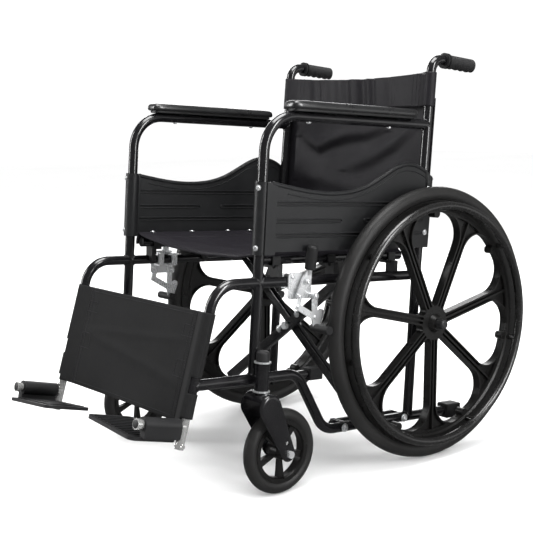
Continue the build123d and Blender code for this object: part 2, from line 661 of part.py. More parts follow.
# ---- footrest -------------------------------------------------------------------------------
ext_top = spot(FRAME_X, hanger_u(EXT_TOP_V), EXT_TOP_V)
ext_end = spot(FRAME_X, hanger_u(EXT_END_V), EXT_END_V)
pin_root = spot(FRAME_X, hanger_u(PIN_V), PIN_V)
pin_tip = pin_root + PIN_DIR * PIN_LENGTH
with BuildPart() as footrest_tube:
    add(cylinder_between(ext_end, ext_top, EXT_R))
    add(cylinder_between(pin_root, pin_root + PIN_DIR * (SLEEVE_START - GAP), 9.5))
    add(cylinder_between(pin_root, pin_tip, PIN_R))
    stop = ext_end + HANGER_UP * 7
    add(cylinder_between(stop - Vector(12, 0, 0), stop + Vector(12, 0, 0), 5))
    add(cylinder_between(pin_tip - PIN_DIR * 14, pin_tip - PIN_DIR * 8, 9))
    add(cylinder_between(pin_tip - PIN_DIR * 8, pin_tip, 11))
    add(cylinder_between(ext_end - HANGER_UP * 1, ext_top + HANGER_UP * 1, EXT_R - 1.5), mode=Mode.SUBTRACT)


def footplate(raise_deg):
    """Sleeve that turns on the pin, with a ribbed tread plate that reaches inboard."""
    tilt = radians(raise_deg)
    normal = Vector(0, sin(radians(PIN_RISE)), cos(radians(PIN_RISE)))
    reach = Vector(-cos(tilt), 0, 0) + normal * sin(tilt)
    up = normal * cos(tilt) + Vector(sin(tilt), 0, 0)
    start = pin_root + PIN_DIR * SLEEVE_START
    with BuildPart() as plate:
        add(cylinder_between(start, start + PIN_DIR * SLEEVE_LENGTH, SLEEVE_R))
        # Web from the sleeve down to the tread: local x inboard, local y down.
        with BuildSketch(Plane(origin=start, x_dir=reach, z_dir=PIN_DIR)):
            with Locations((1 - SLEEVE_R / 2, PLATE_DROP / 2)):
                Rectangle(SLEEVE_R + 2, PLATE_DROP)
        extrude(amount=SLEEVE_LENGTH)
        # Tread: local x forwards along the pin, local y outboard.
        tread = Plane(origin=start - up * PLATE_DROP, x_dir=PIN_DIR, z_dir=up)
        with BuildSketch(tread):
            with Locations((PLATE_LENGTH / 2, PLATE_OUT - PLATE_REACH / 2)):
                RectangleRounded(PLATE_LENGTH, PLATE_REACH, 14)
        extrude(amount=-PLATE_T)
        with BuildSketch(tread):
            for rib in range(11):
                with Locations((PLATE_LENGTH / 2, -SLEEVE_R - 2 - 13 * rib)):
                    SlotOverall(PLATE_LENGTH - 18, 5)
        extrude(amount=2)
        add(cylinder_between(pin_root, pin_tip, PIN_R + FIT), mode=Mode.SUBTRACT)
    return plate.part


# ---- brake ----------------------------------------------------------------------------------
STUD_R = 4.0
with BuildPart() as brake_plate:
    with BuildSketch(frame_plane(BRAKE_PLATE_X)):
        with Locations((-357, 94.5)):
            RectangleRounded(62, 55, 8)
    extrude(amount=3)
    for clamp_u in (-376, -338):
        add(block(spot(FRAME_X, clamp_u, UPPER_V), (2 * TUBE_R + 8, 14, 2 * TUBE_R + 8)))
    add(along_u(FRAME_X, UPRIGHT_U, POST_U, UPPER_V, TUBE_R + 0.02), mode=Mode.SUBTRACT)
    studs = ((LEVER_U, LEVER_V, LEVER_X), (SHOE_PIVOT_U, SHOE_PIVOT_V, SHOE_ARM_X))
    for stud_u, stud_v, layer_x in studs:
        foot = spot(BRAKE_PLATE_X + 1, stud_u, stud_v)
        add(cylinder_between(foot, spot(SHOE_ARM_X + 6, stud_u, stud_v), STUD_R - 0.01))
        add(cylinder_between(foot, spot(layer_x - GAP, stud_u, stud_v), 6))

stem_low_at = spot(LEVER_X + 4.5, -340, 118)
stem_top_at = spot(GRIP_X, -342, 175)
grip_up = (stem_top_at - stem_low_at).normalized()
with BuildPart() as brake_lever:
    for end_u, end_v, end_r in ((-340, 125, 7), (*LINK_TOP, 6)):
        with BuildSketch(frame_plane(LEVER_X)):
            with Locations((LEVER_U, LEVER_V)):
                Circle(11)
            with Locations((end_u, end_v)):
                Circle(end_r)
            make_hull()
        extrude(amount=5)
    add(cylinder_between(stem_low_at, stem_top_at, 5))
    lever_pivot = spot(LEVER_X - 1, LEVER_U, LEVER_V)
    add(cylinder_between(lever_pivot, lever_pivot + Vector(20, 0, 0), STUD_R + FIT), mode=Mode.SUBTRACT)

with BuildPart() as brake_grip:
    add(cylinder_between(stem_low_at + grip_up * 12, stem_top_at + grip_up * 5, GRIP_ROUND_R))
    fillet(brake_grip.edges().filter_by(GeomType.CIRCLE).sort_by(Axis.Z)[-1], 7)
    add(brake_lever.part, mode=Mode.SUBTRACT)

SHOE_START_X = LEVER_X - 1.5
SHOE_END_X = 318.0
with BuildPart() as brake_arm:
    corners = ((SHOE_PIVOT_U, SHOE_PIVOT_V), LINK_LOW, LINK_FRONT, LINK_TOP)
    for limb_start, limb_end in zip(corners, corners[1:]):
        with BuildSketch(frame_plane(SHOE_ARM_X)):
            with Locations(limb_start, limb_end):
                Circle(6.5)
            make_hull()
        extrude(amount=4)
    with BuildSketch(frame_plane(SHOE_ARM_X)):
        with Locations(LINK_LOW):
            Circle(8)
        with Locations((-308, 38), (SHOE_U, SHOE_V)):
            Circle(7)
        make_hull()
    extrude(amount=4)
    add(cylinder_between(spot(SHOE_START_X, SHOE_U, SHOE_V), spot(SHOE_END_X - 3, SHOE_U, SHOE_V), 4))
    arm_pivot = spot(SHOE_ARM_X - 1, SHOE_PIVOT_U, SHOE_PIVOT_V)
    add(cylinder_between(arm_pivot, arm_pivot + Vector(12, 0, 0), STUD_R + FIT), mode=Mode.SUBTRACT)

with BuildPart() as brake_shoe:
    add(cylinder_between(spot(SHOE_START_X, SHOE_U, SHOE_V), spot(SHOE_END_X, SHOE_U, SHOE_V), SHOE_R))
    add(brake_arm.part, mode=Mode.SUBTRACT)

# ---- soft pieces, as plain closed solids ----------------------------------------------------
SLING_T = 5.0
sling_half = BRACE_X + TUBE_R - 1.0
with BuildPart() as seat_sling:
    sling_v = SEAT_V + TUBE_R + 1.5 + SLING_T / 2
    with BuildSketch(Plane(origin=spot(0, SEAT_FRONT_U - 8, sling_v), x_dir=(1, 0, 0), z_dir=BACK)):
        Rectangle(2 * sling_half, SLING_T)
    extrude(amount=SEAT_REAR_U - SEAT_FRONT_U + 2)

BACK_TOP_V = 561.0
BACK_LOW_V = 175.0
back_low = spot(0, post_u(BACK_LOW_V), BACK_LOW_V)
back_top = spot(0, post_u(BACK_TOP_V), BACK_TOP_V)
with BuildPart() as back_sling:
    with BuildSketch(Plane(origin=back_low, x_dir=(1, 0, 0), z_dir=back_top - back_low)):
        Rectangle(2 * (FRAME_X - TUBE_R - 1.0), SLING_T)
    extrude(amount=(back_top - back_low).length)

CALF_TOP_V = 48.0
CALF_LOW_V = -168.0
calf_top = spot(0, hanger_u(CALF_TOP_V), CALF_TOP_V)
calf_low = spot(0, hanger_u(CALF_LOW_V), CALF_LOW_V)
with BuildPart() as calf_panel:
    with BuildSketch(Plane(origin=calf_low, x_dir=(1, 0, 0), z_dir=calf_top - calf_low)):
        Rectangle(2 * (FRAME_X - TUBE_R - 1.0), SLING_T)
    extrude(amount=(calf_top - calf_low).length)

save([seat_sling.part], "seat_sling")
save([back_sling.part], "back_sling")
save([calf_panel.part], "calf_panel")

PAIRED = {
    "arm_tube": [arm_tube],
    "back_post": [back_post],
    "upper_rail": [upper_rail],
    "hanger": [hanger],
    "lower_rail": [lower_rail],
    "castor_housing": [castor_housing, castor_cap],
    "castor_bearings": [castor_bearings],
    "push_grip": [push_grip],
    "tip_cap": [tip_cap],
    "skirt_guard": [skirt_guard],
    "guard_clip": [guard_clip],
    "seat_saddles": [seat_saddles],
    "hinge_brackets": [hinge_brackets, hinge_pins],
    "rear_wheel": [rear_wheel],
    "rear_tyre": [rear_tyre],
    "handrim": [handrim],
    "rear_axle": [rear_axle],
    "castor_fork": [castor_fork],
    "castor_wheel": [castor_wheel],
    "castor_tyre": [castor_tyre],
    "castor_axle": [castor_axle],
    "brake_plate": [brake_plate],
    "brake_lever": [brake_lever, brake_grip],
    "brake_arm": [brake_arm, brake_shoe],
}
for side, sign in SIDES.items():
    shift = Location(HANGER_UP * FOOT_SHIFT[side])
    for node, pieces in PAIRED.items():
        save([piece.part for piece in pieces], f"{node}_{side}", sign)
    slide = Location(BACK * PAD_SHIFT[side])
    save([slide * arm_pad.part, slide * arm_board.part], f"arm_pad_{side}", sign)
    save([shift * footrest_tube.part], f"footrest_tube_{side}", sign)
    save([shift * footplate(PLATE_RAISE[side])], f"footplate_{side}", sign)
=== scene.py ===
import json
import math
import random

import bmesh
import bpy
import numpy as np
from mathutils import Matrix, Vector, noise


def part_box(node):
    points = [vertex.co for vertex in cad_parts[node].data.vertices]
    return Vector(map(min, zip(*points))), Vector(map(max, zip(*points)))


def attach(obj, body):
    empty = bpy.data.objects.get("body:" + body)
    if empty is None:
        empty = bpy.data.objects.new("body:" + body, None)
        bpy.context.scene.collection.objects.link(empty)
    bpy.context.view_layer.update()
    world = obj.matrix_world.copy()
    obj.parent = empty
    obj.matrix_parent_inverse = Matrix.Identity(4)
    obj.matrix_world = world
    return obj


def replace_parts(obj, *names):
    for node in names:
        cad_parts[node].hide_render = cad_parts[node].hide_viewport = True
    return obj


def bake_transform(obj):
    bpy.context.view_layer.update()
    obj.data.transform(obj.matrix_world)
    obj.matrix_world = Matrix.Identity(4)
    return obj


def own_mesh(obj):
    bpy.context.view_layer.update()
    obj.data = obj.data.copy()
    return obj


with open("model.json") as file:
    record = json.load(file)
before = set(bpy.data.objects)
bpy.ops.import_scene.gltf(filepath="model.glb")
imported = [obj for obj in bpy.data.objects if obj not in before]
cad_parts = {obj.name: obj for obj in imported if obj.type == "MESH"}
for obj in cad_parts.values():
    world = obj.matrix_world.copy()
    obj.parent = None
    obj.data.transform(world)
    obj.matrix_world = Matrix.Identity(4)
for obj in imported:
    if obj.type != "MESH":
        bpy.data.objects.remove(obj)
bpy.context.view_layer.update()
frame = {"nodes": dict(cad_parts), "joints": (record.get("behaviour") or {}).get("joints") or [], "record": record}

random.seed(7)

NODES = frame["nodes"]
JOINTS = {j["name"]: j for j in frame["joints"]}
SIDES = {"left": 1, "right": -1}

# ---- the side frame's own directions and sizes, as in the part's source -----------------------
AXLE = Vector(JOINTS["rear_wheel_spin_left"]["pos_m"])
TILT = math.radians(3.7)
BACK = Vector((0, math.cos(TILT), -math.sin(TILT)))
UP = Vector((0, math.sin(TILT), math.cos(TILT)))
ACROSS = Vector((1, 0, 0))
LEAN = math.tan(math.radians(1.1))
POST_LEAN = math.tan(math.radians(2.2))
HANGER_LEAN = math.tan(math.radians(13.5))
FRAME_X = 0.247
TUBE_R = 0.011
UPPER_V = 0.1027
ARM_V = 0.4414
LOWER_FRONT_V = -0.0936
LOWER_REAR_V = -0.2242
BRACE_X = 0.2235
SEAT_V = 0.147
SEAT_FRONT_U = -0.438
SEAT_REAR_U = -0.038
CLOTH_T = 0.0012


def spot(x, u, v):
    """A point from its lateral distance and its place back and up from the axle."""
    return Vector((x, AXLE.y, AXLE.z)) + BACK * u + UP * v


def frame_uv(point):
    """The place of a point in the side frame."""
    rel = Vector(point) - Vector((point[0], AXLE.y, AXLE.z))
    return rel.dot(BACK), rel.dot(UP)


def upright_u(v):
    return -0.457 + (v - UPPER_V) * LEAN


def post_u(v):
    return -0.0005 + (v - UPPER_V) * (POST_LEAN if v > UPPER_V else LEAN)


def hanger_u(v):
    return -0.5615 - (UPPER_V - v) * HANGER_LEAN


POST_UP = (spot(0, post_u(0.5), 0.5) - spot(0, post_u(0.2), 0.2)).normalized()
UPRIGHT_UP = (spot(0, upright_u(0.3), 0.3) - spot(0, upright_u(0), 0)).normalized()
HANGER_UP = (spot(0, hanger_u(0), 0) - spot(0, hanger_u(-0.1), -0.1)).normalized()


# ---- mesh helpers -------------------------------------------------------------------------------
class Shape:
    """Vertices and faces gathered from simple forms."""

    def __init__(self):
        self.verts = []
        self.faces = []

    def grid(self, rows, around=False, skip=None):
        """Faces between rows of points. With around, each row closes on itself."""
        base, width = len(self.verts), len(rows[0])
        for row in rows:
            self.verts.extend(tuple(p) for p in row)
        for i in range(len(rows) - 1):
            for j in range(width if around else width - 1):
                if skip and skip(i, j):
                    continue
                k = (j + 1) % width
                a = base + i * width
                self.faces.append((a + j, a + k, a + width + k, a + width + j))

    def cap(self, ring, flip=False):
        base = len(self.verts)
        self.verts.extend(tuple(p) for p in ring)
        order = list(range(base, base + len(ring)))
        self.faces.append(tuple(reversed(order)) if flip else tuple(order))

    def make(self, name, mat, body=None, sharp=35):
        mesh = bpy.data.meshes.new(name)
        mesh.from_pydata(self.verts, [], self.faces)
        bm = bmesh.new()
        bm.from_mesh(mesh)
        bmesh.ops.remove_doubles(bm, verts=bm.verts, dist=1e-6)
        bmesh.ops.recalc_face_normals(bm, faces=bm.faces)
        bm.to_mesh(mesh)
        bm.free()
        return place(name, mesh, mat, body, sharp)


def place(name, mesh, mat, body=None, sharp=35):
    """Shades a mesh smooth up to an angle, gives it its material, and rides it on its body."""
    mesh.shade_smooth()
    mesh.set_sharp_from_angle(angle=math.radians(sharp))
    mesh.materials.clear()
    mesh.materials.append(mat)
    obj = bpy.data.objects.new(name, mesh)
    bpy.context.scene.collection.objects.link(obj)
    if body:
        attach(obj, body)
    return obj


def thicken(obj, thickness):
    """Gives a sheet its thickness and keeps the result as its mesh."""
    solid = obj.modifiers.new("thickness", "SOLIDIFY")
    solid.thickness = thickness
    solid.offset = 0
    bpy.context.view_layer.update()
    depsgraph = bpy.context.evaluated_depsgraph_get()
    done = bpy.data.meshes.new_from_object(obj.evaluated_get(depsgraph))
    obj.modifiers.clear()
    obj.data = done
    return obj


def between(a, b, count):
    return [a + (b - a) * k / count for k in range(count + 1)]


def side_axes(along):
    """Two unit directions square to a third."""
    ref = ACROSS if abs(along.dot(ACROSS)) < 0.9 else Vector((0, 0, 1))
    first = ref - along * ref.dot(along)
    first.normalize()
    return first, along.cross(first)


def ring(center, along, radius, segments=24):
    first, second = side_axes(along)
    turn = [2 * math.pi * k / segments for k in range(segments)]
    return [center + first * radius * math.cos(a) + second * radius * math.sin(a) for a in turn]


def lathe(shape, base, axis, profile, segments=24):
    """Turns (radius, height) points about an axis, closing both ends."""
    axis = axis.normalized()
    rows = [ring(base + axis * h, axis, max(r, 1e-5), segments) for r, h in profile]
    shape.grid(rows, around=True)
    shape.cap(rows[0], flip=True)
    shape.cap(rows[-1])


def sweep(shape, points, radius, segments=10, closed=False):
    """A round cord of geometry along points."""
    count = len(points)
    rows = []
    first = None
    for i, p in enumerate(points):
        before = points[i - 1] if closed or i else p
        after = points[(i + 1) % count] if closed or i < count - 1 else p
        along = (after - before).normalized()
        if first is None:
            first, second = side_axes(along)
        first = (first - along * first.dot(along)).normalized()
        second = along.cross(first)
        r = radius(i) if callable(radius) else radius
        turn = [2 * math.pi * k / segments for k in range(segments)]
        rows.append([p + first * r * math.cos(a) + second * r * math.sin(a) for a in turn])
    shape.grid(rows + rows[:1] if closed else rows, around=True)
    if not closed:
        shape.cap(rows[0], flip=True)
        shape.cap(rows[-1])


def bolt(shape, base, axis, radius, height):
    """A domed socket-head screw with a washer under it."""
    lathe(shape, base, axis, [
        (radius * 1.35, 0), (radius * 1.35, height * 0.18), (radius * 1.02, height * 0.2),
        (radius, height * 0.55), (radius * 0.82, height * 0.88), (radius * 0.5, height),
        (radius * 0.46, height * 0.97), (radius * 0.44, height * 0.5), (0, height * 0.48),
    ])


BEAD_R = 0.0019
BEAD_RIPPLE = 0.0005


def weld(shape, at, branch, main):
    """A rippled bead where a branch tube meets a main tube of the same size."""
    points = []
    for k in range(60):
        a = 2 * math.pi * k / 60
        out = ACROSS * TUBE_R * math.cos(a) + main * TUBE_R * math.sin(a)
        points.append(at + out * 1.02 + branch * (TUBE_R * abs(math.sin(a)) + 0.0006))
    sweep(shape, points, lambda i: BEAD_R + BEAD_RIPPLE * math.sin(i * 2.1), 8, closed=True)


# ---- materials ----------------------------------------------------------------------------------
class Nodes:
    """A short way to lay out one material's nodes."""

    def __init__(self, name):
        self.mat = bpy.data.materials.new(name)
        self.mat.use_nodes = True
        self.tree = self.mat.node_tree
        self.shader = self.tree.nodes["Principled BSDF"]
        self.place = self.add("ShaderNodeTexCoord").outputs["Object"]

    def add(self, kind, inputs=(), **props):
        node = self.tree.nodes.new(kind)
        for key, value in props.items():
            setattr(node, key, value)
        for key, value in dict(inputs).items():
            if isinstance(value, bpy.types.NodeSocket):
                self.tree.links.new(value, node.inputs[key])
            else:
                node.inputs[key].default_value = value
        return node

    def noise(self, scale, detail=3.0, stretch=(1, 1, 1), rough=0.5):
        at = self.place
        if stretch != (1, 1, 1):
            at = self.add("ShaderNodeMapping", {"Vector": at, "Scale": stretch}).outputs[0]
        made = self.add("ShaderNodeTexNoise", {
            "Vector": at, "Scale": scale, "Detail": detail, "Roughness": rough})
        return made.outputs["Fac"]

    def span(self, value, low, high, start=0.3, end=0.7):
        made = self.add("ShaderNodeMapRange", {
            "Value": value, "From Min": start, "From Max": end, "To Min": low, "To Max": high})
        return made.outputs[0]

    def mix(self, factor, a, b):
        made = self.add("ShaderNodeMix", {"Factor": factor}, data_type="RGBA")
        for socket, value in ((made.inputs[6], a), (made.inputs[7], b)):
            if isinstance(value, bpy.types.NodeSocket):
                self.tree.links.new(value, socket)
            else:
                socket.default_value = (*value, 1.0)
        return made.outputs[2]

    def math(self, kind, a, b):
        return self.add("ShaderNodeMath", {0: a, 1: b}, operation=kind).outputs[0]

    def bump(self, height, strength, distance, before=None):
        inputs = {"Height": height, "Strength": strength, "Distance": distance}
        if before is not None:
            inputs["Normal"] = before
        return self.add("ShaderNodeBump", inputs).outputs[0]

    def set(self, **values):
        for key, value in values.items():
            socket = self.shader.inputs[key.replace("_", " ")]
            if isinstance(value, bpy.types.NodeSocket):
                self.tree.links.new(value, socket)
            else:
                socket.default_value = value
        return self.mat


def tone(color, share):
    return tuple(min(1.0, c * share) for c in color)


def coated_paint():
    """Gloss black powder coat: faint orange peel, dust and handling haze."""
    n = Nodes("frame_paint")
    cloud = n.noise(9.0, 4.0)
    peel = n.noise(650.0, 2.0)
    color = n.mix(n.span(cloud, 0, 1), (0.0030, 0.0030, 0.0036), (0.0075, 0.0072, 0.008))
    rough = n.span(n.noise(38.0, 5.0), 0.14, 0.27)
    return n.set(Base_Color=color, Roughness=rough, Coat_Weight=0.5, Coat_Roughness=0.08,
                 Normal=n.bump(peel, 0.18, 0.0004))


def plated(name, light, dark, rough_low, rough_high, stretch, metallic):
    """Bright plated metal with drawn streaks and dull patches, less than fully metallic."""
    n = Nodes(name)
    patch = n.noise(26.0, 4.0)
    streak = n.noise(420.0, 3.0, stretch)
    color = n.mix(n.span(patch, 0, 1), dark, light)
    rough = n.math("ADD", n.span(patch, rough_low, rough_high), n.span(streak, -0.04, 0.06))
    return n.set(Base_Color=color, Metallic=metallic, Roughness=rough,
                 Normal=n.bump(streak, 0.15, 0.0002))


def moulded(name, color, rough, grain, height, specular=0.3, coat=0.0):
    """Moulded plastic or rubber: fine grain, slow shade changes, scuffed patches."""
    n = Nodes(name)
    slow = n.noise(7.0, 3.0)
    scuff = n.noise(60.0, 6.0, rough=0.7)
    fine = n.add("ShaderNodeTexVoronoi", {"Vector": n.place, "Scale": grain}).outputs["Distance"]
    base = n.mix(n.span(slow, 0, 1), tone(color, 0.8), tone(color, 1.15))
    base = n.mix(n.span(scuff, 0, 0.5, 0.55, 0.8), base, tone(color, 1.8))
    surface = n.span(scuff, rough - 0.06, rough + 0.1)
    grained = n.bump(n.noise(90.0, 3.0), 0.08, 0.0006, n.bump(fine, 0.35, height))
    return n.set(Base_Color=base, Roughness=surface, Specular_IOR_Level=specular,
                 Coat_Weight=coat, Coat_Roughness=0.16, Normal=grained)


def woven(name, color, light, period, axes, rough=0.62, sheen=0.05, specular=0.2):
    """Plain-weave coated cloth: warp and weft threads, shade drift, soft sheen."""
    n = Nodes(name)
    scale = 2 * math.pi / (20 * period)
    waves = []
    for axis in axes:
        wave = n.add("ShaderNodeTexWave", {"Vector": n.place, "Scale": scale, "Distortion": 0.6,
                                           "Detail": 1.0, "Detail Scale": 2.0},
                     wave_type="BANDS", bands_direction=axis)
        waves.append(wave.outputs["Fac"])
    threads = n.math("MAXIMUM", waves[0], waves[1])
    drift = n.noise(11.0, 4.0)
    slub = n.noise(300.0, 2.0, (1, 1, 0.15))
    base = n.mix(n.span(drift, 0, 1), tone(color, 0.85), tone(color, 1.2))
    base = n.mix(n.span(threads, 0, 0.6, 0.5, 1.0), base, light)
    base = n.mix(n.span(slub, 0, 0.25), base, tone(light, 1.1))
    return n.set(Base_Color=base, Roughness=n.span(drift, rough - 0.05, rough + 0.08),
                 Sheen_Weight=sheen, Sheen_Roughness=0.4, Specular_IOR_Level=specular,
                 Normal=n.bump(threads, 0.35, 0.0004, n.bump(n.noise(45.0, 3.0), 0.12, 0.002)))


PAINT = coated_paint()
ZINC = plated("zinc", (0.86, 0.87, 0.88), (0.70, 0.71, 0.72), 0.22, 0.34, (1, 1, 0.2), 0.80)
CHROME = plated("chrome_tube", (0.82, 0.82, 0.81), (0.66, 0.66, 0.65), 0.12, 0.22,
                (1, 0.3, 0.3), 0.8)
GRIP = moulded("grip_rubber", (0.010, 0.010, 0.0105), 0.58, 1500.0, 0.0003)
GUARD = moulded("guard_plastic", (0.0105, 0.0108, 0.0115), 0.36, 1300.0, 0.00035, 0.38)
PLATE = moulded("plate_plastic", (0.013, 0.013, 0.0137), 0.46, 1300.0, 0.0003)
WHEEL = moulded("wheel_plastic", (0.0062, 0.0060, 0.0058), 0.30, 1600.0, 0.0002, 0.32)
TYRE = moulded("tyre_rubber", (0.0135, 0.0132, 0.0130), 0.42, 1100.0, 0.0004, 0.3)
CAP = moulded("cap_plastic", (0.014, 0.014, 0.0145), 0.42, 1500.0, 0.0002)
AXLE_CAP = moulded("axle_cap", (0.016, 0.016, 0.0165), 0.34, 1500.0, 0.0002, 0.4)
HANDRIM = moulded("handrim_plastic", (0.0075, 0.0073, 0.0072), 0.22, 1600.0, 0.0002, 0.5, 0.5)
SHOE = moulded("shoe_rubber", (0.010, 0.010, 0.0105), 0.5, 900.0, 0.0005)
PAD = moulded("pad_vinyl", (0.010, 0.010, 0.0105), 0.30, 2200.0, 0.0002, 0.5, 0.6)
NYLON_V = woven("nylon_upright", (0.0058, 0.0053, 0.0066), (0.0135, 0.0125, 0.0150), 0.0011,
                "XZ", 0.42, 0.02, 0.20)
NYLON_H = woven("nylon_level", (0.0062, 0.0055, 0.0072), (0.0145, 0.013, 0.0165), 0.0011,
                "XY", 0.55, 0.02, 0.12)
CANVAS = woven("calf_cloth", (0.0075, 0.0075, 0.0077), (0.018, 0.018, 0.0185), 0.0014,
               "XZ", 0.78, 0.02, 0.10)
THREAD = moulded("thread", (0.03, 0.03, 0.032), 0.6, 3000.0, 0.0001)

LOOKS = {
    "frame_paint": PAINT, "zinc": ZINC, "chrome_tube": CHROME, "grip_rubber": GRIP,
    "guard_plastic": GUARD, "plate_plastic": PLATE, "wheel_plastic": WHEEL,
    "tyre_rubber": TYRE, "nylon": NYLON_V, "pad_vinyl": PAD,
}
for part in frame["record"]["subparts"]:
    node = NODES[part["node"]]
    node.data.materials.clear()
    node.data.materials.append(LOOKS[part["material_slot"]])
for side in SIDES:
    NODES[f"rear_axle_{side}"].data.materials[0] = AXLE_CAP
    NODES[f"seat_saddles_{side}"].data.materials[0] = CAP
    NODES[f"handrim_{side}"].data.materials[0] = HANDRIM


# ---- CAD nodes that hold two materials: copies of their parts ---------------------------------
def loose_parts(node):
    """The separate solids of a node as new meshes."""
    bm = bmesh.new()
    bm.from_mesh(NODES[node].data)
    bmesh.ops.remove_doubles(bm, verts=bm.verts, dist=1e-6)
    bm.verts.ensure_lookup_table()
    seen, groups = set(), []
    for start in bm.verts:
        if start.index in seen:
            continue
        stack, group = [start], []
        seen.add(start.index)
        while stack:
            v = stack.pop()
            group.append(v)
            for e in v.link_edges:
                w = e.other_vert(v)
                if w.index not in seen:
                    seen.add(w.index)
                    stack.append(w)
        groups.append(group)
    made = []
    for group in groups:
        index = {v.index: i for i, v in enumerate(group)}
        faces = {f for v in group for f in v.link_faces}
        mesh = bpy.data.meshes.new(node + "_part")
        corners = [[index[v.index] for v in f.verts] for f in faces]
        mesh.from_pydata([tuple(v.co) for v in group], [], corners)
        made.append(mesh)
    bm.free()
    return made


def box_size(mesh):
    """The volume of a mesh's box."""
    co = np.array([v.co for v in mesh.vertices])
    return float(np.prod(co.max(0) - co.min(0)))


def split_near(node, base, axis, radius, start=-1.0):
    """Two meshes: a node's faces close round an axis and past a height along it, and the rest."""
    source = NODES[node].data
    near = []
    for v in source.vertices:
        height = (v.co - base).dot(axis)
        near.append(height > start and (v.co - base - axis * height).length < radius)
    made = []
    for wanted in (True, False):
        faces = [f for f in source.polygons if all(near[i] for i in f.vertices) == wanted]
        used = sorted({i for f in faces for i in f.vertices})
        index = {i: k for k, i in enumerate(used)}
        mesh = bpy.data.meshes.new(node + "_part")
        corners = [[index[i] for i in f.vertices] for f in faces]
        mesh.from_pydata([tuple(source.vertices[i].co) for i in used], [], corners)
        bm = bmesh.new()
        bm.from_mesh(mesh)
        bmesh.ops.remove_doubles(bm, verts=bm.verts, dist=1e-6)
        bm.to_mesh(mesh)
        bm.free()
        made.append(mesh)
    return made


# Two points on the lever's stem as (lateral, u, v), and where its grip starts above the first.
LEVER_STEM = ((0.2705, -0.340, 0.118), (0.2795, -0.342, 0.175))
LEVER_GRIP_R, LEVER_GRIP_START = 0.0123, 0.0119
SHOE_U, SHOE_V, SHOE_R = -0.320, 0.0055, 0.0091
for side, sign in SIDES.items():
    fixed = f"{side}_frame"
    housing, cap = sorted(loose_parts(f"castor_housing_{side}"), key=box_size, reverse=True)
    made = place(f"housing_{side}", housing, PAINT, fixed)
    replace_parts(made, f"castor_housing_{side}")
    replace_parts(place(f"dust_cap_{side}", cap, CAP, fixed), f"castor_housing_{side}")
    stem_low, stem_top = (spot(sign * x, u, v) for x, u, v in LEVER_STEM)
    stem_up = (stem_top - stem_low).normalized()
    grip, lever = split_near(f"brake_lever_{side}", stem_low, stem_up, LEVER_GRIP_R,
                             LEVER_GRIP_START)
    body = f"brake_lever_{side}"
    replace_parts(place(f"lever_{side}", lever, ZINC, body), f"brake_lever_{side}")
    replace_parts(place(f"lever_grip_{side}", grip, CAP, body), f"brake_lever_{side}")
    shoe, arm = split_near(f"brake_arm_{side}", spot(0, SHOE_U, SHOE_V), ACROSS, SHOE_R)
    body = f"brake_arm_{side}"
    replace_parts(place(f"shoe_arm_{side}", arm, ZINC, body), f"brake_arm_{side}")
    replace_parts(place(f"shoe_{side}", shoe, SHOE, body), f"brake_arm_{side}")

# ---- push grips: ringed rubber with finger bumps underneath -------------------------------------
GRIP_R = 0.0142
FINGER = 0.0185
HANDLE_DROP = math.radians(2.8)
FIRST_RING = 0.013
for side, sign in SIDES.items():
    low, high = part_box(f"push_grip_{side}")
    drop = HANDLE_DROP + TILT
    along = Vector((0, math.cos(drop), -math.sin(drop)))
    down = Vector((0, -math.sin(drop), -math.cos(drop)))
    start = Vector((sign * FRAME_X, low.y + 0.002, high.z - 0.017))
    length = (high.y - low.y) / math.cos(drop) - 0.003
    shape = Shape()
    rows = []
    steps = 150
    for i in range(steps + 1):
        s = length * i / steps
        collar = 0.0035 if s < 0.004 or 0.0075 < s < 0.0105 else 0.0
        past = s - FIRST_RING
        ribs = 0.0006 * math.cos(2 * math.pi * s / 0.0042) if past > 0 else 0.0
        bump = 0.5 - 0.5 * math.cos(2 * math.pi * past / FINGER) if past > 0 else 0.0
        tip = math.sqrt(max(0.0, 1 - max(0.0, (s - length + 0.005) / 0.005) ** 2))
        row = []
        for k in range(40):
            a = 2 * math.pi * k / 40
            under = max(0.0, math.cos(a)) ** 2
            r = (GRIP_R + collar + ribs * (1 - under) + 0.0028 * bump * under) * (0.84 + 0.16 * tip)
            row.append(start + along * s + down * r * math.cos(a) + ACROSS * r * math.sin(a))
        rows.append(row)
    shape.grid(rows, around=True)
    shape.cap(rows[0], flip=True)
    shape.cap(rows[-1])
    made = shape.make(f"hand_grip_{side}", GRIP, f"{side}_frame", 60)
    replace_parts(made, f"push_grip_{side}")

# ---- arm pads: moulded foam on a board ----------------------------------------------------------
PAD_FRONT, PAD_REAR, PAD_HALF = -0.392, -0.038, 0.028
PAD_LOW = ARM_V + TUBE_R + 0.004
PAD_H = 0.0175
PAD_SHIFT = {1: 0.0, -1: -0.016}
# (inset, height) of each ring, from the underside's edge over the crown.
PAD_RINGS = (
    (0.004, 0.0), (0.0012, 0.0012), (0.0, 0.004), (0.0002, 0.0085), (0.0014, 0.0120),
    (0.0036, 0.0146), (0.0068, 0.0162), (0.0105, 0.0168), (0.0130, 0.0163), (0.0160, 0.0168),
    (0.0215, 0.0174), (0.027, 0.0175))


def pad_outline(inset, count=96):
    """A long rounded rectangle, narrower and rounder at the front, as (lateral, u) pairs."""
    length, half = (PAD_REAR - PAD_FRONT) / 2 - inset, PAD_HALF - inset
    middle = (PAD_REAR + PAD_FRONT) / 2
    out = []
    for k in range(count):
        a = 2 * math.pi * k / count
        c, s = math.cos(a), math.sin(a)
        power = 0.36 if s < 0 else 0.26
        x = half * math.copysign(abs(c) ** power, c)
        u = length * math.copysign(abs(s) ** (0.16 if s > 0 else 0.3), s)
        pinch = 1 - 0.10 * math.exp(-((u + length) / 0.05) ** 2) if s < 0 else 1
        out.append((x * pinch, middle + u))
    return out


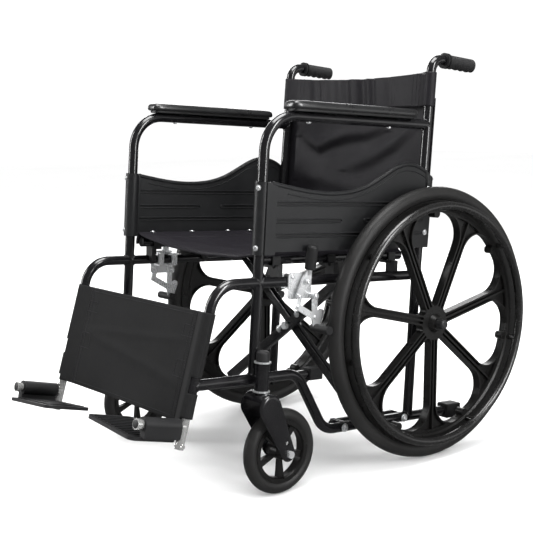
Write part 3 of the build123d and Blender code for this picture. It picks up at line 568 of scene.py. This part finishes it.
for side, sign in SIDES.items():
    shape = Shape()
    rows = []
    for inset, height in PAD_RINGS:
        row = []
        for x, u in pad_outline(inset):
            wave = 0.00025 * noise.noise(Vector((x * 40, u * 12, sign)))
            up = PAD_LOW + min(PAD_H, height + wave)
            row.append(spot(sign * FRAME_X + x, u + PAD_SHIFT[sign], up))
        rows.append(row)
    shape.grid(rows, around=True)
    shape.cap(rows[0], flip=True)
    shape.cap(rows[-1])
    pad = shape.make(f"arm_cushion_{side}", PAD, f"{side}_frame", 70)
    board = Shape()
    levels = ((0.007, ARM_V + TUBE_R - 0.001), (0.006, ARM_V + TUBE_R), (0.006, PAD_LOW))
    rows = [[spot(sign * FRAME_X + x, u + PAD_SHIFT[sign], h) for x, u in pad_outline(inset, 64)]
            for inset, h in levels]
    board.grid(rows, around=True)
    board.cap(rows[0], flip=True)
    board.cap(rows[-1])
    made = board.make(f"arm_base_{side}", CAP, f"{side}_frame")
    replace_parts(pad, f"arm_pad_{side}")
    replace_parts(made, f"arm_pad_{side}")

# ---- skirt guard: rolled top rim, read from the guard's own edge, and pressed ribs --------------
GUARD_X = 0.2615
GUARD_HALF = 0.003
# Each rib's height and its two ends along the guard.
RIBS = ((0.264, -0.447, -0.010), (0.2285, -0.447, -0.252), (0.2285, -0.184, -0.010),
        (0.199, -0.447, -0.010))
for side, sign in SIDES.items():
    mesh = NODES[f"skirt_guard_{side}"].data
    top = {}
    for face in mesh.polygons:
        if face.normal.dot(UP) > 0.4 and frame_uv(face.center)[1] > 0.28:
            for i in face.vertices:
                u, v = frame_uv(mesh.vertices[i].co)
                top[round(u, 4)] = max(v, top.get(round(u, 4), 0))
    points = [spot(sign * GUARD_X, u, v - 0.0040) for u, v in sorted(top.items())]
    points = points[:-1] + [points[-1] - BACK * 0.002]
    shape = Shape()
    sweep(shape, points, 0.0050, 14)
    for cheek in (-GUARD_HALF, GUARD_HALF):
        inner = [spot(sign * GUARD_X + cheek, u, v - 0.0175) for u, v in sorted(top.items())][2:-6]
        sweep(shape, inner, 0.0011, 8)
        for v, u0, u1 in RIBS:
            for rise in (0.0036, -0.0036):
                line = [spot(sign * GUARD_X + cheek, u, v + rise) for u in between(u0, u1, 12)]
                sweep(shape, line, lambda i: 0.0016 if 0 < i < 12 else 0.00064, 8)
            outward = ACROSS * math.copysign(1, cheek)
            dimple = spot(sign * GUARD_X + cheek, u0 + 0.001, v)
            lathe(shape, dimple - outward * 0.001, outward, [
                (0.0052, 0), (0.0050, 0.0016), (0.0040, 0.0024), (0.0022, 0.0018), (0, 0.0016)], 16)
    shape.make(f"guard_rim_{side}", GUARD, f"{side}_frame", 60)

# ---- bolts, rivets and welds --------------------------------------------------------------------
LOWER_RAIL_BOLTS_U = (-0.210, -0.027)
PAD_BOLTS_U = (-0.338, -0.108)
CLIP_BOLTS_V = (0.174, 0.295)
GUARD_BOLTS_V = (0.200, 0.300)
PLATE_BOLTS = ((-0.378, 0.114), (-0.336, 0.110))
PIVOT_BOLTS = ((-0.348, 0.104), (-0.3254, 0.0724))
LINK_RIVETS = ((-0.3244, 0.028), (-0.3716, 0.0527), (-0.3672, 0.0732))
BRACE_BOLTS = ((-0.028, -0.050), (0.036, -0.006))
for side, sign in SIDES.items():
    fixed = f"{side}_frame"
    out = ACROSS * sign
    bolts = Shape()
    for u in LOWER_RAIL_BOLTS_U:
        bolt(bolts, spot(sign * (FRAME_X + TUBE_R - 0.0008), u, LOWER_REAR_V), out, 0.0068, 0.0055)
    for u in PAD_BOLTS_U:
        bolt(bolts, spot(sign * FRAME_X, u, ARM_V - TUBE_R + 0.0006), -UP, 0.0045, 0.0035)
    for v in CLIP_BOLTS_V:
        turned = (out * math.cos(1.2) - BACK * math.sin(1.2)).normalized()
        clip_face = spot(sign * FRAME_X, upright_u(v), v) + turned * 0.0152
        bolt(bolts, clip_face, turned, 0.0044, 0.003)
    for v in GUARD_BOLTS_V:
        bolt(bolts, spot(sign * 0.2643, post_u(v), v), out, 0.0045, 0.003)
    for u, v in PLATE_BOLTS:
        bolt(bolts, spot(sign * 0.2612, u, v), out, 0.0042, 0.003)
    for u, v in PIVOT_BOLTS:
        bolt(bolts, spot(sign * 0.2772, u, v), out, 0.0052, 0.0035)
    links = Shape()
    for u, v in LINK_RIVETS:
        bolt(links, spot(sign * 0.2754, u, v), out, 0.0040, 0.0026)
    links.make(f"link_rivets_{side}", ZINC, f"brake_arm_{side}")
    bolts.make(f"frame_bolts_{side}", ZINC, fixed)

    welds = Shape()
    rear, front = BACK, -BACK
    weld(welds, spot(sign * FRAME_X, upright_u(UPPER_V), UPPER_V), rear, UPRIGHT_UP)
    weld(welds, spot(sign * FRAME_X, upright_u(UPPER_V), UPPER_V), front, UPRIGHT_UP)
    weld(welds, spot(sign * FRAME_X, post_u(UPPER_V), UPPER_V), front, POST_UP)
    weld(welds, spot(sign * FRAME_X, post_u(ARM_V), ARM_V), front, POST_UP)
    weld(welds, spot(sign * FRAME_X, upright_u(LOWER_FRONT_V), LOWER_FRONT_V), UPRIGHT_UP, BACK)
    weld(welds, spot(sign * FRAME_X, hanger_u(LOWER_FRONT_V), LOWER_FRONT_V), rear, HANGER_UP)
    weld(welds, spot(sign * FRAME_X, post_u(LOWER_REAR_V), LOWER_REAR_V), UPRIGHT_UP, BACK)
    welds.make(f"welds_{side}", PAINT, fixed, 60)

# ---- plastic plugs in the seat rails' ends, and the brace's bolts -------------------------------
for body, sign in (("brace_rear", -1), ("brace_front", 1)):
    plugs = Shape()
    for u, way in ((SEAT_FRONT_U, -1), (SEAT_REAR_U, 1)):
        lathe(plugs, spot(sign * BRACE_X, u, SEAT_V), BACK * way, [
            (0.0094, -0.004), (0.0094, 0.0001), (0.0109, 0.0002), (0.0109, 0.0016),
            (0.0085, 0.003), (0, 0.0034)])
    plugs.make(f"rail_plugs_{body}", CAP, body)
brace_bolts = Shape()
for x, v in BRACE_BOLTS:
    bolt(brace_bolts, spot(x, -0.172, v), -BACK, 0.006, 0.005)
brace_bolts.make("brace_bolts", ZINC, "brace_front")

# ---- footrest pins: black end knobs on bright washers -------------------------------------------
for side, sign in SIDES.items():
    pin = JOINTS[f"footplate_flip_{side}"]
    root = Vector(pin["pos_m"])
    along = Vector(pin["axis"]).normalized()
    along = along if along.y < 0 else -along
    knob = Shape()
    lathe(knob, root + along * 0.1050, along, [
        (0.0088, 0), (0.0092, 0.001), (0.0092, 0.006), (0.0080, 0.0082), (0.005, 0.0090),
        (0, 0.0092)], 28)
    knob.make(f"pin_knob_{side}", CAP, f"footrest_{side}")
    washer = Shape()
    lathe(washer, root + along * 0.1034, along, [
        (0.0098, 0), (0.0106, 0.0004), (0.0106, 0.0013), (0.0098, 0.0018), (0, 0.0018)], 28)
    washer.make(f"pin_washer_{side}", ZINC, f"footrest_{side}")


# ---- slings -------------------------------------------------------------------------------------
def stitch_rows(shape, lines, pitch=0.0052, dash=0.0034, radius=0.0004):
    """Sewn threads as short dashes along lines of points."""
    for line in lines:
        gone = 0.0
        for a, b in zip(line, line[1:]):
            span = (b - a).length
            along = (b - a) / max(span, 1e-9)
            while gone < span:
                p = a + along * gone
                sweep(shape, [p, p + along * dash * 0.5, p + along * dash], radius, 5)
                gone += pitch
            gone -= span


def teardrop(radius, reach, count=28):
    """A sleeve's cross-section about a tube: (inward, forward) pairs from seam to seam."""
    meet = math.acos(radius / reach)
    out = [(reach, 0.0008)]
    for k in range(count + 1):
        a = meet + (2 * math.pi - 2 * meet) * k / count
        out.append((radius * math.cos(a), radius * math.sin(a)))
    return out + [(reach, -0.0008)]


SLEEVE_R = 0.0127
PANEL_COLS = 72


def sleeved_sheet(name, rows_v, center_of, forward, seam, wave, mat, gaps=None):
    """A sheet with a sleeve sewn round each of two tubes.

    center_of gives the tubes' middle at a height, wave the panel's displacement forwards at (x, v),
    and gaps which sleeve faces are cut away."""
    drop = teardrop(SLEEVE_R, seam)
    rows = []
    for v in rows_v:
        middle = center_of(v)
        row = [middle + ACROSS * (FRAME_X - inward) + forward * ahead for inward, ahead in drop]
        edge = FRAME_X - seam
        for k in range(1, PANEL_COLS):
            x = edge - 2 * edge * k / PANEL_COLS
            row.append(middle + ACROSS * x + forward * wave(x, v))
        row += [middle - ACROSS * (FRAME_X - inward) + forward * ahead for inward, ahead in drop]
        rows.append(row)
    shape = Shape()
    shape.grid(rows, skip=gaps)
    cut = sum((Vector(b) - Vector(a)).length for a, b in zip(rows[0], rows[0][1:]))
    obj = shape.make(name, mat, sharp=80)
    return thicken(obj, CLOTH_T), cut, rows


# Back sling: a band sleeved over the posts, and a panel behind them below it.
BAND_TOP_V, BAND_LOW_V, BACK_LOW_V = 0.559, 0.482, 0.176
PANEL_TOP_V = BAND_LOW_V + 0.02
POST_FORWARD = -POST_UP.cross(ACROSS).normalized()
creases = []
for _ in range(12):
    place_x, width = random.uniform(-0.19, 0.19), random.uniform(0.005, 0.012)
    creases.append((place_x, width, random.choice((-1, 1)) * random.uniform(0.0022, 0.0058)))


def fade(x, half, soft=0.03):
    """One in the middle of the panel, falling to nothing at its seams."""
    return min(1.0, max(0.0, (half - abs(x)) / soft))


def band_wave(x, v):
    belly = -0.008 * max(0.0, 1 - (x / 0.22) ** 2)
    folds = sum(h * math.exp(-(((x - c + 0.15 * (v - 0.52)) / w) ** 2)) for c, w, h in creases)
    return (belly + folds + 0.0008 * noise.noise(Vector((x * 30, v * 18, 0)))) * fade(x, 0.222)


def post_center(v):
    return spot(0, post_u(v), v)


band, band_cut, band_rows = sleeved_sheet(
    "back_band", between(BAND_LOW_V, BAND_TOP_V, 22), post_center, POST_FORWARD, 0.030, band_wave,
    NYLON_V)
for point in band.data.vertices:
    rise = max(0.0, (frame_uv(point.co)[1] - BAND_LOW_V) / (BAND_TOP_V - BAND_LOW_V))
    point.co -= POST_UP * 0.007 * rise * max(0.0, 1 - (point.co.x / 0.235) ** 2)
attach(band, "left_frame")

# Each fold is a line of (x, v) points, a width and a height.
FOLDS = (
    (((-0.200, 0.412), (-0.168, 0.390), (-0.138, 0.378), (-0.100, 0.392), (-0.040, 0.408),
      (0.030, 0.414), (0.085, 0.428)), 0.019, 0.0105),
    (((-0.030, 0.330), (0.050, 0.352), (0.130, 0.388), (0.190, 0.430)), 0.020, 0.0070),
    (((-0.205, 0.300), (-0.120, 0.292), (-0.020, 0.276), (0.080, 0.262)), 0.026, 0.0050),
)


def fold_wave(x, v):
    """Slack folds across the panel: a ridge above each line and a valley below it."""
    total = 0.0
    for line, width, height in FOLDS:
        best = (1e9, 0.0, 0.0)
        for i, ((x0, v0), (x1, v1)) in enumerate(zip(line, line[1:])):
            step_x, step_v = x1 - x0, v1 - v0
            t = ((x - x0) * step_x + (v - v0) * step_v) / (step_x ** 2 + step_v ** 2)
            t = min(1.0, max(0.0, t))
            dx, dv = x - x0 - t * step_x, v - v0 - t * step_v
            far = math.hypot(dx, dv)
            if far < best[0]:
                best = (far, math.copysign(far, dv), (i + t) / (len(line) - 1))
        d = best[1] / width
        along = math.sin(math.pi * min(1.0, max(0.0, 0.12 + 0.76 * best[2])))
        total += height * along * d * math.exp(-d * d)
    return total


def panel_wave(x, v):
    belly = -0.010 * max(0.0, 1 - (x / 0.235) ** 2)
    soft = 0.003 * noise.noise(Vector((x * 7 + v * 4, v * 6, 3)))
    soft += 0.0008 * noise.noise(Vector((x * 26, v * 22, 5)))
    return (belly + fold_wave(x, v) + soft) * fade(x, 0.236)


PANEL_HALF = 0.256
panel_rows = []
for v in between(BACK_LOW_V, PANEL_TOP_V, 90):
    middle = spot(0, post_u(v), v) - POST_FORWARD * (TUBE_R + 0.0014)
    panel_rows.append([middle + ACROSS * x + POST_FORWARD * panel_wave(x, v)
                       for x in between(-PANEL_HALF, PANEL_HALF, 110)])
shape = Shape()
shape.grid(panel_rows)
back_panel = thicken(shape.make("back_panel", NYLON_V, sharp=80), CLOTH_T)
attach(back_panel, "left_frame")
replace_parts(band, "back_sling")
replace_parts(back_panel, "back_sling")

# Calf panel: sleeves on the hangers, open where the lower rails join.
CALF_TOP_V, CALF_LOW_V, SLEEVE_LOW_V = 0.048, -0.168, -0.157
HANGER_FORWARD = -HANGER_UP.cross(ACROSS).normalized()


def calf_wave(x, v):
    belly = -0.006 * max(0.0, 1 - (x / 0.22) ** 2)
    crease = 0.0022 * math.exp(-(((v + 0.075 + 0.12 * x) / 0.011) ** 2))
    crease += 0.0016 * math.exp(-(((v + 0.028 - 0.08 * x) / 0.008) ** 2))
    soft = 0.0016 * noise.noise(Vector((x * 11, v * 14, 9)))
    return (belly + crease + soft) * fade(x, 0.217, 0.05)


calf_heights = between(CALF_LOW_V, CALF_TOP_V, 54)
DROP_COUNT = len(teardrop(SLEEVE_R, 0.030))


def calf_gap(i, j):
    """Sleeve faces left out: round the lower rail's joint, and below the sleeve's end."""
    v = calf_heights[i]
    columns = 2 * DROP_COUNT + PANEL_COLS - 1
    k = j if j < DROP_COUNT - 1 else columns - 2 - j
    if k < 0 or k >= DROP_COUNT - 1:
        return False
    if v < SLEEVE_LOW_V:
        return 2 < k < DROP_COUNT - 3
    return abs(v - LOWER_FRONT_V) < 0.0145 and 5 < k < DROP_COUNT - 4


calf, calf_cut, calf_rows = sleeved_sheet(
    "calf_cloth_panel", calf_heights, lambda v: spot(0, hanger_u(v), v), HANGER_FORWARD, 0.034,
    calf_wave, CANVAS, calf_gap)
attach(calf, "left_frame")
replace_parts(calf, "calf_panel")

# Seat sling: screwed down over the seat rails, with a hem along its front edge.
SEAT_SAG = 0.020
SEAT_CLOTH_T = 0.0018
WRAP_R = TUBE_R + 0.0012
# On each side: how far the cloth lies above its rail's middle, and the angle in degrees where its
# outer edge ends.
CROWN_RISE = {1: 0.0150, -1: 0.0225}
WRAP_END = {1: 28, -1: -24}
SEAT_EDGE_U, SEAT_BACK_U = -0.446, -0.042
SCREWS_U = (-0.409, -0.297, -0.188, -0.120, -0.066)
seat_us = between(SEAT_EDGE_U, SEAT_BACK_U, 88)


def seat_row(u):
    ahead = (u - seat_us[0]) / (seat_us[-1] - seat_us[0])
    wraps = []
    for hand in (1, -1):
        lift = CROWN_RISE[hand] - WRAP_R
        wrap = []
        for a in between(math.radians(WRAP_END[hand]), math.radians(90), 12):
            out, up = WRAP_R * math.cos(a), (WRAP_R + lift * max(0.0, math.sin(a))) * math.sin(a)
            wrap.append((hand * (BRACE_X + out), SEAT_V + up))
        wraps.append(wrap)
    slope = CROWN_RISE[1] - CROWN_RISE[-1]
    flat = []
    for x in between(BRACE_X, -BRACE_X, 80)[1:-1]:
        share = 1 - (x / BRACE_X) ** 2
        lean = 1 + 0.18 * (x / BRACE_X)
        ripple = 0.0020 * noise.noise(Vector((x * 16, u * 9, 2)))
        ripple += 0.0012 * noise.noise(Vector((x * 5, u * 40, 4)))
        pull = 0.0016 * math.cos(2 * math.pi * (u - SCREWS_U[0]) / 0.105)
        pull *= math.exp(-((BRACE_X - abs(x)) / 0.03))
        edge = share ** 0.7
        sag = SEAT_SAG * (1.0 + 0.45 * math.sin(math.pi * ahead)) * edge * lean
        crown = SEAT_V + CROWN_RISE[-1] + slope * (0.5 + 0.5 * x / BRACE_X)
        flat.append((x, crown - sag + ripple * min(1, share * 4) + pull * min(1, share * 12)))
    path = wraps[0] + flat + wraps[1][::-1]
    bow = (1 - ahead) ** 6
    return [spot(x, u - 0.007 * bow * max(0.0, 1 - (x / 0.215) ** 2), v) for x, v in path]


seat_rows = [seat_row(u) for u in seat_us]
shape = Shape()
shape.grid(seat_rows)
seat = thicken(shape.make("seat_cloth", NYLON_H, sharp=80), SEAT_CLOTH_T)
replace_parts(seat, "seat_sling")

hem = Shape()
front_edge = [p + BACK * 0.001 - UP * 0.0012 for p in seat_rows[0][9:-9]]
sweep(hem, front_edge, 0.0026, 10)
seat_hem = hem.make("seat_hem", NYLON_H, sharp=80)

threads = Shape()
seams = []
for step in (4, 6, len(seat_us) - 5):
    seams.append([p + UP * 0.0011 for p in seat_rows[step][13:-13]])
for col in (18, len(seat_rows[0]) - 19):
    seams.append([row[col] + UP * 0.0011 for row in seat_rows[2:-2]])
stitch_rows(threads, seams)
seat_threads = threads.make("seat_threads", THREAD)

for piece in (seat, seat_hem, seat_threads):
    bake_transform(piece)
for body, sign in (("brace_rear", -1), ("brace_front", 1)):
    screws = Shape()
    for u in SCREWS_U:
        head = spot(sign * (BRACE_X - 0.001), u, SEAT_V + CROWN_RISE[sign] + 0.0006)
        bolt(screws, head, UP, 0.0048, 0.0030)
    screws.make(f"seat_screws_{body}", ZINC, body)

# Threads on the back band and the calf panel, beside the sleeves and along the hems.
def edge_lines(rows, columns, heights, lift):
    lines = [[row[c] + lift for row in rows] for c in columns]
    return lines + [[p + lift for p in rows[h][DROP_COUNT + 2:-DROP_COUNT - 2]] for h in heights]


band_threads = Shape()
lift = POST_FORWARD * 0.0012
columns = (DROP_COUNT + 1, DROP_COUNT + 3, -DROP_COUNT - 2, -DROP_COUNT - 4)
stitch_rows(band_threads, edge_lines(band_rows, columns, (1,), lift))
band_sewn = band_threads.make("band_threads", THREAD, "left_frame")

calf_threads = Shape()
lift = HANGER_FORWARD * 0.0012
columns = (DROP_COUNT, DROP_COUNT + 2, -DROP_COUNT - 1, -DROP_COUNT - 3)
calf_lines = edge_lines(calf_rows, columns, (2, 52), lift)
for x0 in (0.205, -0.205):
    for v0, v1 in ((-0.085, -0.052), (-0.005, 0.018)):
        x1 = x0 - math.copysign(0.032, x0)
        loop = [(x0, v0), (x1, v0), (x1, v1), (x0, v1), (x0, v0)]
        points = []
        for (xa, va), (xb, vb) in zip(loop, loop[1:]):
            for t in between(0.0, 1.0, 6)[:-1]:
                x, v = xa + (xb - xa) * t, va + (vb - va) * t
                points.append(spot(x, hanger_u(v), v) + HANGER_FORWARD * calf_wave(x, v) + lift)
        calf_lines.append(points + points[:1])
stitch_rows(calf_threads, calf_lines)
calf_sewn = calf_threads.make("calf_threads", THREAD, "left_frame")

# The frames come together as the chair folds; here each of these slings only gets its own copy of its mesh.
for piece in (band, back_panel, calf, band_sewn, calf_sewn):
    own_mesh(piece)

# ---- floor, light and camera --------------------------------------------------------------------
floor_mat = Nodes("floor")
cloud = floor_mat.span(floor_mat.noise(0.6, 3.0), 0, 1)
pale = floor_mat.mix(cloud, (0.93, 0.93, 0.93), (0.96, 0.96, 0.96))
floor_mat.set(Base_Color=pale, Roughness=0.7)
shape = Shape()
shape.grid([[(-14, -14, 0), (14, -14, 0)], [(-14, 14, 0), (14, 14, 0)]])
floor = shape.make("floor", floor_mat.mat)
floor.visible_glossy = False

WORLD_LIGHT = 0.14
BACKDROP = 1.05
world = bpy.data.worlds.new("studio")
world.use_nodes = True
glow = world.node_tree.nodes["Background"]
glow.inputs["Color"].default_value = (1, 1, 1, 1)
glow.inputs["Strength"].default_value = WORLD_LIGHT
seen = world.node_tree.nodes.new("ShaderNodeLightPath")
share = world.node_tree.nodes.new("ShaderNodeMapRange")
share.inputs["To Min"].default_value = WORLD_LIGHT
share.inputs["To Max"].default_value = BACKDROP
world.node_tree.links.new(seen.outputs["Is Camera Ray"], share.inputs["Value"])
world.node_tree.links.new(share.outputs[0], glow.inputs["Strength"])
bpy.context.scene.world = world
bpy.context.scene.view_settings.view_transform = "Standard"


def softbox(name, at, aim, size, power):
    data = bpy.data.lights.new(name, "AREA")
    data.shape = "RECTANGLE"
    data.size, data.size_y = size
    data.energy = power
    obj = bpy.data.objects.new(name, data)
    bpy.context.scene.collection.objects.link(obj)
    obj.location = at
    obj.rotation_mode = "QUATERNION"
    obj.rotation_quaternion = (Vector(aim) - Vector(at)).to_track_quat("-Z", "Y")


CENTRE = (0, 0, 0.45)
softbox("top", (0.3, 0.0, 2.9), CENTRE, (1.3, 1.8), 70)
softbox("left", (-2.5, -2.5, 1.7), CENTRE, (0.45, 2.6), 75)
softbox("right", (3.2, 0.6, 1.7), CENTRE, (0.5, 2.6), 80)
softbox("behind", (-2.8, 2.3, 1.3), CENTRE, (2.6, 1.6), 60)
softbox("low", (2.9, 2.3, 0.35), CENTRE, (2.4, 1.5), 8)
sun = bpy.data.objects.new("sky", bpy.data.lights.new("sky", "SUN"))
sun.data.energy = 3.35
sun.data.angle = math.radians(95)
sun.rotation_euler = (math.radians(14), math.radians(10), 0)
sun.visible_glossy = False
bpy.context.scene.collection.objects.link(sun)

# The camera's direction as angles, and its place in metres.
AZIMUTH, ELEVATION, ROLL = (math.radians(a) for a in (51.84, 7.74, -0.9))
CAMERA_AT = Vector((2.00502, AXLE.y - 1.81284, 0.78051))
LENS = 75.23
camera_data = bpy.data.cameras.new("camera")
camera_data.sensor_width = 36.0
camera_data.lens = LENS
camera_data.shift_x = 0.00405
camera_data.shift_y = -0.00717
camera_data.clip_end = 100
camera = bpy.data.objects.new("camera", camera_data)
bpy.context.scene.collection.objects.link(camera)
level = math.cos(ELEVATION)
away = Vector((math.sin(AZIMUTH) * level, -math.cos(AZIMUTH) * level, math.sin(ELEVATION)))
right = (-away).cross(Vector((0, 0, 1))).normalized()
above = right.cross(-away)
turned_right = right * math.cos(ROLL) + above * math.sin(ROLL)
turned_up = above * math.cos(ROLL) - right * math.sin(ROLL)
turn = Matrix((turned_right, turned_up, away)).transposed().to_4x4()
camera.matrix_world = Matrix.Translation(CAMERA_AT) @ turn
bpy.context.scene.camera = camera
